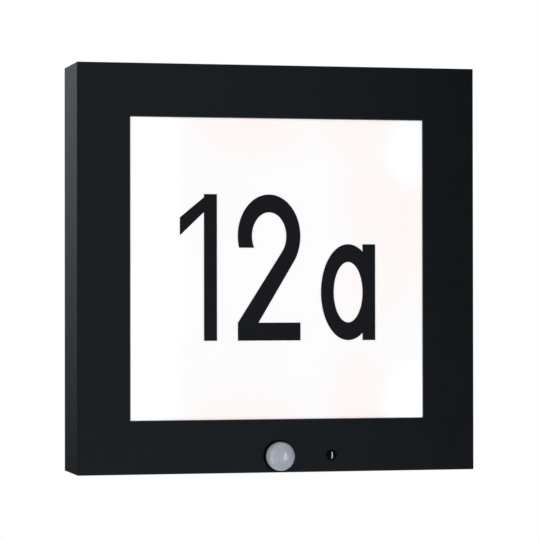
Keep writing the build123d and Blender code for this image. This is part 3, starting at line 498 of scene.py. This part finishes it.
# Milky moulded polythene of the movement lens, a little cloudy
milk = {
    "colour": (0.445, 0.487, 0.543),
    "shade": (0.35, 0.385, 0.43),
    "roughness": 0.20,
    "ior": 1.54,
    "coat": 0.35,
    "coatRoughness": 0.08,
    "grain": 0.0007,
    "grainShare": 0.3,
    "grainSheen": 0.1,
    "grainDepth": 0.000008,
    "cloud": 0.005,
    "cloudShare": 0.7,
}


def lensPlastic():
    finish = Finish(
        "lensPlastic",
        IOR=milk["ior"],
        Coat_Weight=milk["coat"],
        Coat_Roughness=milk["coatRoughness"],
    )
    grain = finish.noise(milk["grain"])
    cloud = finish.noise(milk["cloud"], detail=3.0)
    tone = (cloud * milk["cloudShare"] + grain * milk["grainShare"]).clamped()
    finish.set(
        Base_Color=finish.blend(tone, milk["shade"], milk["colour"]),
        Roughness=milk["roughness"] + grain * milk["grainSheen"],
    )
    finish.relief((grain, milk["grainDepth"]))
    return finish.material


# Dark polished window that lets through little more than infrared
glassy = {
    "colour": (0.0006, 0.0006, 0.0008),
    "shades": (0.8, 1.6),
    "specular": 0.08,
    "roughness": 0.08,
    "grain": 0.0008,
    "grainSheen": 0.03,
}


def glossBlack():
    finish = Finish("glossBlack", Specular_IOR_Level=glassy["specular"])
    grain = finish.noise(glassy["grain"])
    finish.set(
        Base_Color=finish.shades(grain, glassy["colour"], *glassy["shades"]),
        Roughness=glassy["roughness"] + grain * glassy["grainSheen"],
    )
    return finish.material


coverGrain = {"grain": 0.0007, "depth": 0.00004, "specular": 0.35}
finishes = {
    "powder_coat": powderCoat(),
    "opal_panel": opalPanel(),
    "foil_black": foilFinish(),
    "cover_plastic": mouldedPlastic("coverPlastic", (0.030, 0.032, 0.035), 0.52, **coverGrain),
    "seal_rubber": sealRubber(),
    "reflector_white": mouldedPlastic("reflectorWhite", (0.86, 0.86, 0.85), 0.4),
    "board_white": circuitBoard("boardWhite", (0.80, 0.80, 0.78), (0.70, 0.71, 0.70), 0.0018),
    "led_phosphor": mouldedPlastic("ledPhosphor", (0.85, 0.68, 0.16), 0.3, 0.0003, 0.000008),
    "chassis_sheet": bareMetal("chassisSheet", (0.62, 0.63, 0.64), 0.34),
    "driver_plastic": mouldedPlastic("driverPlastic", (0.72, 0.72, 0.70), 0.5),
    "board_green": circuitBoard("boardGreen", (0.012, 0.11, 0.035), (0.03, 0.22, 0.07), 0.0011),
    "ferrite": mouldedPlastic("ferrite", (0.045, 0.045, 0.048), 0.6, 0.0004, 0.00003),
    "winding_tape": mouldedPlastic("windingTape", (0.78, 0.52, 0.06), 0.25, 0.003, 0.00004),
    "capacitor_sleeve": mouldedPlastic("capacitorSleeve", (0.03, 0.04, 0.10), 0.22),
    "plug_nylon": mouldedPlastic("plugNylon", (0.74, 0.71, 0.64), 0.42),
    "chip_black": mouldedPlastic("chipBlack", (0.022, 0.022, 0.023), 0.5, 0.0003),
    "screw_steel": bareMetal("screwSteel", (0.56, 0.57, 0.58), 0.28),
    "lead_brown": mouldedPlastic("leadBrown", (0.11, 0.04, 0.018), 0.38),
    "lead_blue": mouldedPlastic("leadBlue", (0.02, 0.08, 0.42), 0.38),
    "lead_earth": mouldedPlastic("leadEarth", (0.22, 0.48, 0.03), 0.38),
    "lead_thin": mouldedPlastic("leadThin", (0.42, 0.02, 0.015), 0.38),
    "tinned_brass": bareMetal("tinnedBrass", (0.70, 0.60, 0.38), 0.3),
    "terminal_nylon": mouldedPlastic("terminalNylon", (0.78, 0.78, 0.75), 0.42),
    "sensor_lens": lensPlastic(),
    "dusk_black": glossBlack(),
    "detector_can": bareMetal("detectorCan", (0.72, 0.72, 0.71), 0.2),
    "trimmer_blue": mouldedPlastic("trimmerBlue", (0.03, 0.11, 0.40), 0.45),
    "dial_grey": mouldedPlastic("dialGrey", (0.30, 0.31, 0.32), 0.45),
    "zinc_steel": zincSheet(),
}


def dress(piece, slot):
    piece.data.materials.clear()
    piece.data.materials.append(finishes[slot])


for row in frame["record"]["subparts"]:
    dress(nodes[row["node"]], row["material_slot"])
print("finishes set:", len(finishes))


# A piece made here, on the body it moves with and with the slot of its finish
def newPiece(name, mesh, body, slot):
    piece = bpy.data.objects.new(name, mesh)
    bpy.context.collection.objects.link(piece)
    dress(piece, slot)
    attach(piece, body)
    return piece


# A tree that shapes a mesh. Its sizes are named inputs, and it ends as one plain mesh.
class Build(Tree):
    def __init__(self, name, **sizes):
        self.name = name
        self.sizes = sizes
        self.tree = bpy.data.node_groups.new(name, "GeometryNodeTree")
        sockets = self.tree.interface
        sockets.new_socket("Shape", in_out="OUTPUT", socket_type="NodeSocketGeometry")
        sockets.new_socket("Shape", in_out="INPUT", socket_type="NodeSocketGeometry")
        for key, value in sizes.items():
            kind = "NodeSocketInt" if isinstance(value, int) else "NodeSocketFloat"
            sockets.new_socket(key, in_out="INPUT", socket_type=kind)
        given = self.node("NodeGroupInput").outputs
        self.shape = given["Shape"]
        self.size = {key: self.level(given[key]) for key in sizes}

    def vector(self, x, y, z):
        return self.node("ShaderNodeCombineXYZ", {}, x, y, z).outputs[0]

    # Points to put copies on, and each one's number, from 0
    def row(self, count):
        line = self.node("GeometryNodeMeshLine", {}, Count=count)
        return line.outputs[0], self.level(self.node("GeometryNodeInputIndex").outputs[0])

    # The tree's result on a start mesh, if there is one
    def mesh(self, geometry, slot, start=None):
        realized = self.node("GeometryNodeRealizeInstances", {}, geometry).outputs[0]
        painted = self.node("GeometryNodeSetMaterial", {}, realized, Material=finishes[slot])
        self.node("NodeGroupOutput", {}, painted.outputs[0])
        carrier = bpy.data.objects.new(self.name, start or bpy.data.meshes.new(self.name))
        bpy.context.collection.objects.link(carrier)
        modifier = carrier.modifiers.new("shape", "NODES")
        modifier.node_group = self.tree
        for item in self.tree.interface.items_tree:
            if item.in_out == "INPUT" and item.name in self.sizes:
                modifier[item.identifier] = self.sizes[item.name]
        bpy.context.view_layer.update()
        shaped = carrier.evaluated_get(bpy.context.evaluated_depsgraph_get())
        plain = bpy.data.meshes.new_from_object(shaped)
        bpy.data.objects.remove(carrier)
        return plain


# Joins two rings of vertices, or a ring and a single vertex, with a band of faces
def band(shell, first, second):
    count = len(first)
    for side in range(count):
        following = (side + 1) % count
        if len(second) == 1:
            shell.faces.new((first[side], first[following], second[0]))
        else:
            shell.faces.new((first[side], first[following], second[following], second[side]))


# Turned closed shape about a line square to the wall. Its profile is a list of radius and depth
# from the wall, and the function shape moves each point, such as to a flat.
def turned(name, centre, profile, sides, shape, closed=True):
    shell = bmesh.new()
    rings = []
    for radius, depth in profile:
        ring = []
        for side in range(sides if radius > 0 else 1):
            turn = 2 * math.pi * side / sides
            x = centre[0] + radius * math.cos(turn)
            z = centre[1] + radius * math.sin(turn)
            ring.append(shell.verts.new(shape(Vector((x, -depth, z)))))
        rings.append(ring)
    pairs = list(zip(rings, rings[1:]))
    if closed:
        pairs.append((rings[-1], rings[0]))
    for first, second in pairs:
        if len(first) == 1 and len(second) > 1:
            first, second = second, first
        if len(first) > 1:
            band(shell, first, second)
    bmesh.ops.recalc_face_normals(shell, faces=shell.faces)
    mesh = bpy.data.meshes.new(name)
    shell.to_mesh(mesh)
    shell.free()
    mesh.shade_smooth()
    return mesh


def frontFace():
    return -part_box("housing")[0][1]


# Ball-shaped Fresnel lens of the movement sensor. It is moulded in rows of cells, like the
# squares of a globe, each a little domed and parted from the next by a fine groove.
motionLens = {
    "radius": 0.0092,
    "neck": 0.0081,
    "stand": 0.0001,  # how far the neck stands out of the face
    "wall": 0.0012,
    "flange": 0.0012,
    "rings": 112,
    "sides": 224,
    "swell": 0.00002,
    "groove": 0.0001,
    "grooveWidth": 0.00026,
    # upper edge of each row in degrees of latitude, and how many cells go round
    "rows": ((-56, 10), (-37, 16), (-17, 20), (17, 24), (37, 20), (56, 16), (90, 10)),
    "skin": 0.000001,  # a point this near the radius is on the outside of the ball
    "rowReach": 1.0000001,  # a row takes in its own edges
}


# Presses the cells and the grooves between them into the outside of the plain ball
def cutCells(start, centre, slot):
    values = motionLens
    build = Build(
        "lensCells",
        Radius=values["radius"],
        Swell=values["swell"],
        Groove=values["groove"],
        GrooveWidth=values["grooveWidth"],
    )
    size = build.size

    def vectorMath(operation, *vectors, **named):
        return build.node("ShaderNodeVectorMath", {"operation": operation}, *vectors, **named)

    place = build.node("GeometryNodeInputPosition").outputs[0]
    away = vectorMath("SUBTRACT", place, centre).outputs[0]
    reach = build.level(vectorMath("LENGTH", away).outputs["Value"])
    way = vectorMath("NORMALIZE", away).outputs[0]
    x, y, z = build.xyz(way)
    latitude = z.arcsine()
    longitude = x.angle(y * -1.0)
    girth = latitude.cosine() * size["Radius"] * (2 * math.pi)
    rise = 0.0
    lower = -90
    for upper, count in values["rows"]:
        low, high = math.radians(lower), math.radians(upper)
        share = (longitude * (count / (2 * math.pi))).fraction()
        across = (share - 0.5).magnitude() * 2.0
        along = (latitude - (low + high) / 2).magnitude() * (2 / (high - low))
        toSide = (1.0 - across) * girth * (0.5 / count)
        toEdge = (1.0 - along) * size["Radius"] * ((high - low) / 2)
        groove = (1.0 - toSide.smaller(toEdge) / size["GrooveWidth"]).clamped()
        dome = (across ** 2.0 + along ** 2.0) * size["Swell"]
        cell = dome * -1.0 - groove ** 2.0 * size["Groove"]
        rise = cell * along.lessThan(values["rowReach"]) + rise
        lower = upper
    skin = (reach - size["Radius"]).magnitude().lessThan(values["skin"])
    shift = vectorMath("SCALE", way, Scale=rise * skin).outputs[0]
    moved = build.node("GeometryNodeSetPosition", {}, build.shape, Offset=shift)
    return build.mesh(moved.outputs[0], slot, start)


def makeMotionLens():
    values = motionLens
    low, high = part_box("motion_lens")
    rear = -high[1]
    flangeRadius = (high[0] - low[0]) / 2
    place = ((low[0] + high[0]) / 2, high[2] - flangeRadius)
    radius, neck, wall = values["radius"], values["neck"], values["wall"]
    middle = frontFace() + values["stand"] + math.sqrt(radius ** 2 - neck ** 2)

    # From the neck, past the widest part, to the crown
    def arc(ballRadius, neckRadius, count):
        start = math.pi - math.asin(neckRadius / ballRadius)
        points = []
        for step in range(count):
            turn = start * (1 - step / count)
            points.append((ballRadius * math.sin(turn), middle + ballRadius * math.cos(turn)))
        return points + [(0.0, middle + ballRadius)]

    def cutFlat(point):
        point.z = max(point.z, low[2])
        return point

    flange = [
        (neck - wall, rear),
        (flangeRadius, rear),
        (flangeRadius, rear + values["flange"]),
        (neck, rear + values["flange"]),
    ]
    outside = arc(radius, neck, values["rings"])
    inside = arc(radius - wall, neck - wall, values["rings"] // 2)[::-1]
    plain = turned("lensBlank", place, flange + outside + inside, values["sides"], cutFlat)
    mesh = cutCells(plain, (place[0], -middle, place[1]), "sensor_lens")
    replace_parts(newPiece("motionLens", mesh, "luminaire", "sensor_lens"), "motion_lens")


# Small dark window of the dusk sensor, domed, with its crown a little off the middle
duskLens = {
    "radius": 0.00345,
    "rise": 0.0013,
    "offCentre": -0.0006,
    "flangeFront": 0.0475,  # depth from the wall
    "rings": 40,
    "sides": 96,
}


def makeDuskLens():
    values = duskLens
    low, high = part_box("dusk_lens")
    place = ((low[0] + high[0]) / 2, (low[2] + high[2]) / 2)
    front, rear = frontFace(), -high[1]
    flangeRadius = (high[0] - low[0]) / 2
    profile = [
        (0.0, rear),
        (flangeRadius, rear),
        (flangeRadius, values["flangeFront"]),
        (values["radius"], values["flangeFront"]),
    ]
    for step in range(values["rings"]):
        turn = step * math.pi / 2 / values["rings"]
        depth = front + values["rise"] * math.sin(turn)
        profile.append((values["radius"] * math.cos(turn), depth))
    profile.append((0.0, front + values["rise"]))

    def lean(point):
        point.x += values["offCentre"] * max(0.0, (-point.y - front) / values["rise"])
        return point

    mesh = turned("duskLens", place, profile, values["sides"], lean, closed=False)
    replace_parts(newPiece("duskLens", mesh, "luminaire", "dusk_black"), "dusk_lens")


# Rubber ring under the lens flange. Its thin black lip round the ball is painted shade: a dark
# ring laid on the face where shade and a dark reflection fall round the ball.
lensSeal = {
    "shadeLip": 0.0102,
    "thickness": 0.00018,
    "lipEdge": 0.00005,
    "lipSlope": 0.0004,
    "neckGap": 0.00015,
    "ballGap": 0.00025,
    "sides": 160,
    "spare": 0.000001,
}


def makeLensSeal():
    values = lensSeal
    low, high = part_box("lens_seal")
    rear, step, front = -high[1], -low[1], frontFace()
    outer = (high[0] - low[0]) / 2
    inner = motionLens["neck"] + values["neckGap"]
    hole = motionLens["radius"] + values["ballGap"]
    shadeLip, lipFront = values["shadeLip"], front + values["thickness"]
    profile = [
        (inner, rear),
        (outer, rear),
        (outer, step),
        (hole, step),
        (hole, front),
        # the black lip runs out along the face: a painted shade ring round the ball
        (shadeLip, front),
        (shadeLip - values["lipEdge"], lipFront),
        (inner + values["lipSlope"], lipFront),
        (inner, front),
    ]

    def cutFlat(point):
        if -point.y < step + values["spare"]:
            point.z = max(point.z, low[2])
        return point

    place = ((low[0] + high[0]) / 2, high[2] - outer)
    mesh = turned("lensSeal", place, profile, values["sides"], cutFlat)
    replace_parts(newPiece("lensSeal", mesh, "luminaire", "seal_rubber"), "lens_seal")


# Raised rings on the soft skin of the cable grommet, where it is cut for thicker cables
grommetRings = {
    "rings": 3,
    "radius": 0.0052,
    "step": 0.0012,
    "thickness": 0.00022,
    "sides": 96,
    "beadSides": 12,
}


def makeGrommetRings():
    values = grommetRings
    low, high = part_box("cable_grommet")
    build = Build(
        "grommetRings",
        Rings=values["rings"],
        Radius=values["radius"],
        Step=values["step"],
        Thickness=values["thickness"],
        Depth=high[1],
        Height=(low[2] + high[2]) / 2,
    )
    size = build.size

    def circle(sides, radius):
        kind = "GeometryNodeCurvePrimitiveCircle"
        return build.node(kind, {}, Resolution=sides, Radius=radius).outputs[0]

    line = circle(values["sides"], size["Radius"])
    bead = circle(values["beadSides"], size["Thickness"])
    ring = build.node("GeometryNodeCurveToMesh", {}, line, bead).outputs[0]
    points, number = build.row(size["Rings"])
    middle = build.vector(0.0, size["Depth"], size["Height"])
    placed = build.node("GeometryNodeSetPosition", {}, points, Position=middle)
    grown = number * size["Step"] / size["Radius"] + 1.0
    rings = build.node(
        "GeometryNodeInstanceOnPoints",
        {},
        placed.outputs[0],
        Instance=ring,
        Rotation=(math.radians(90), 0.0, 0.0),
        Scale=build.vector(grown, grown, 1.0),
    )
    mesh = build.mesh(rings.outputs[0], "seal_rubber")
    newPiece("grommetRings", mesh, "luminaire", "seal_rubber")


# Flat bars on a circle or a part of one. They point to its middle and grow along the row.
def barRow(name, body, middle, face, values):
    build = Build(
        name,
        Count=values["count"],
        Steps=values["steps"],
        Sweep=math.radians(values["sweep"]),
        Start=math.radians(values["start"]),
        Radius=values["radius"],
        Length=values["length"],
        Width=values["width"],
        Height=values["height"],
        Growth=values["growth"],
    )
    size = build.size
    points, number = build.row(size["Count"])
    share = number / size["Steps"]
    turn = share * size["Sweep"] + size["Start"]
    across = turn.cosine() * size["Radius"] + middle[0]
    up = turn.sine() * size["Radius"] + middle[1]
    place = build.vector(across, face, up)
    placed = build.node("GeometryNodeSetPosition", {}, points, Position=place)
    form = build.vector(size["Length"], size["Height"], size["Width"])
    bars = build.node(
        "GeometryNodeInstanceOnPoints",
        {},
        placed.outputs[0],
        Instance=build.node("GeometryNodeMeshCube", {}, form).outputs[0],
        Rotation=build.vector(0.0, turn * -1.0, 0.0),
        Scale=build.vector(share * size["Growth"] + 1.0, 1.0, 1.0),
    )
    newPiece(name, build.mesh(bars.outputs[0], "dial_grey"), body, "dial_grey")


# Printed marks round the two dials on the back, with angles in degrees
dialMarks = {
    "count": 11,
    "steps": 10,
    "start": -45,
    "sweep": 270,
    "radius": 0.0064,
    "length": 0.0009,
    "width": 0.00034,
    "height": 0.00012,
    "growth": 1.0,
    "behindDial": 0.0005,  # from the face of a dial to the face of the cover
}

# Fine grip on the rim of each dial
dialGrip = {
    "count": 28,
    "steps": 28,
    "start": 0,
    "sweep": 360,
    "radius": 0.00432,
    "length": 0.00036,
    "width": 0.00022,
    "height": 0.0003,
    "growth": 0.0,
}


def makeDialTrim():
    for dial in ("time_dial", "lux_dial"):
        low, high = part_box(dial)
        middle = ((low[0] + high[0]) / 2, (low[2] + high[2]) / 2)
        coverFace = high[1] - dialMarks["behindDial"]
        barRow(dial.replace("_dial", "Marks"), "luminaire", middle, coverFace, dialMarks)
        barRow(dial.replace("_dial", "Grip"), dial, middle, high[1], dialGrip)


neutral = (1.0, 1.0, 1.0)
studio = {
    "world": 0.47,
    "worldColour": (0.97, 0.985, 1.0),
    # what gloss shows in front of the sign, by how far to the right, and its tint
    "frontCard": (
        (-1.0, 0.30),
        (-0.40, 0.20),
        (0.0, 0.26),
        (0.20, 0.305),
        (0.272, 0.30),
        (0.292, 0.08),
        (0.315, 0.0),
        (0.45, 0.0),
        (1.0, 0.30),
    ),
    "frontTint": (0.79, 1.0, 1.15),
    # what it shows behind the sign, by height
    "backCard": ((-0.08, 0.018), (0.0, 0.106), (0.09, 0.240), (0.40, 0.50)),
    "backTint": (0.965, 1.0, 1.10),
    "cardTurn": 3.0,  # how sharply the one gives way to the other at the sides
    "floorDrop": 0.62,
    "floorSize": 9.0,
    "floorColour": (0.80, 0.80, 0.81),
    "floorRoughness": 0.9,
}


# Grey card whose brightness runs over a part of the direction, as stops of place and level
def graded(tree, place, stops, tint):
    first, last = stops[0][0], stops[-1][0]
    colours = [((where - first) / (last - first), scaled(tint, level)) for where, level in stops]
    share = (place - first) / (last - first)
    return tree.node("ShaderNodeValToRGB", {"stops": colours}, share).outputs[0]


# Gloss sees the cards, the camera sees white, and the rest is soft light
def makeWorld():
    world = bpy.data.worlds.new("studio")
    bpy.context.scene.world = world
    tree = Tree(world)
    x, y, z = tree.xyz(tree.node("ShaderNodeTexCoord").outputs["Generated"])
    card = tree.blend(
        (y * studio["cardTurn"] + 0.5).clamped(),
        graded(tree, x, studio["frontCard"], studio["frontTint"]),
        graded(tree, z, studio["backCard"], studio["backTint"]),
    )

    def background(colour, strength=1.0):
        return tree.node("ShaderNodeBackground", {}, colour, strength).outputs[0]

    soft = background(studio["worldColour"], studio["world"])
    path = tree.node("ShaderNodeLightPath").outputs
    inGloss = tree.level(path["Is Glossy Ray"])
    seen = tree.level(path["Is Camera Ray"]).larger(tree.level(path["Is Transmission Ray"]))
    light = tree.node("ShaderNodeMixShader", {}, inGloss, soft, background(card)).outputs[0]
    final = tree.node("ShaderNodeMixShader", {}, seen, light, background(neutral)).outputs[0]
    tree.node("ShaderNodeOutputWorld", {}, final)


def makeFloor():
    half = studio["floorSize"] / 2
    low = cadBox[0][2] - studio["floorDrop"]
    corners = [(-half, -half, low), (half, -half, low), (half, half, low), (-half, half, low)]
    mesh = bpy.data.meshes.new("studioFloor")
    mesh.from_pydata(corners, [], [(0, 1, 2, 3)])
    piece = bpy.data.objects.new("studioFloor", mesh)
    bpy.context.collection.objects.link(piece)
    shading = {"Base_Color": studio["floorColour"], "Roughness": studio["floorRoughness"]}
    piece.data.materials.append(Finish("studioFloor", **shading).material)


# Soft boxes light the sign. The grey cards give its coat the sheen, so gloss doesn't show the
# front boxes. Each narrow strip only puts a streak on the lens that it names.
lamps = {
    "keyBox": {
        "place": (-1.95, -1.35, 0.35),
        "width": 1.5,
        "height": 2.2,
        "power": 22.0,
        "inGloss": False,
    },
    "fillBox": {
        "place": (1.60, -1.60, 0.40),
        "width": 1.4,
        "height": 1.6,
        "power": 12.0,
        "inGloss": False,
    },
    "backBox": {"place": (1.2, 1.8, 1.2), "width": 1.4, "height": 1.4, "power": 20.0},
    "rightStrip": {
        "place": (0.37, -0.80, -0.15),
        "aim": (0.0, 0.0, -0.12),
        "width": 0.13,
        "height": 0.86,
        "power": 4.4,
        "lens": "motionLens",
    },
    "leftStrip": {
        "place": (-0.50, -0.03, -0.14),
        "aim": (0.0, 0.0, -0.12),
        "width": 0.10,
        "height": 1.10,
        "power": 1.5,
        "tint": (0.70, 1.0, 1.0),
        "lens": "motionLens",
    },
    "duskStrip": {
        "place": (0.39, -0.80, -0.16),
        "aim": (0.0, 0.0, -0.12),
        "width": 0.10,
        "height": 0.98,
        "power": 32.0,
        "lens": "duskLens",
    },
}


def aimed(place, aim):
    return (Vector(aim) - Vector(place)).to_track_quat("-Z", "Y").to_euler()


def makeLamp(name, values):
    data = bpy.data.lights.new(name, "AREA")
    data.shape = "RECTANGLE"
    data.size = values["width"]
    data.size_y = values["height"]
    data.energy = values["power"]
    data.color = values.get("tint", neutral)
    lamp = bpy.data.objects.new(name, data)
    lamp.location = values["place"]
    lamp.rotation_euler = aimed(values["place"], values.get("aim", (0.0, 0.0, 0.0)))
    lamp.visible_glossy = values.get("inGloss", True)
    bpy.context.collection.objects.link(lamp)
    if "lens" in values:
        lamp.visible_diffuse = False
        lit = bpy.data.collections.new(name + "Lens")
        lamp.light_linking.receiver_collection = lit
        lit.objects.link(bpy.data.objects[values["lens"]])


view = {
    "lens": 179.5,
    "sensor": 36.0,
    "place": (-0.40045, -1.72143, -0.01669),
    "turn": (90.53, 0.07, -13.289),
}


def makeCamera():
    data = bpy.data.cameras.new("camera")
    data.lens = view["lens"]
    data.sensor_width = view["sensor"]
    camera = bpy.data.objects.new("camera", data)
    camera.location = view["place"]
    camera.rotation_euler = [math.radians(angle) for angle in view["turn"]]
    bpy.context.collection.objects.link(camera)
    bpy.context.scene.camera = camera


makeMotionLens()
makeDuskLens()
makeLensSeal()
print("sensor lenses made")

makeGrommetRings()
makeDialTrim()
print("trim on the back made")

makeWorld()
makeFloor()
for name, values in lamps.items():
    makeLamp(name, values)
makeCamera()
bpy.context.scene.view_settings.view_transform = "Standard"
print("studio set")
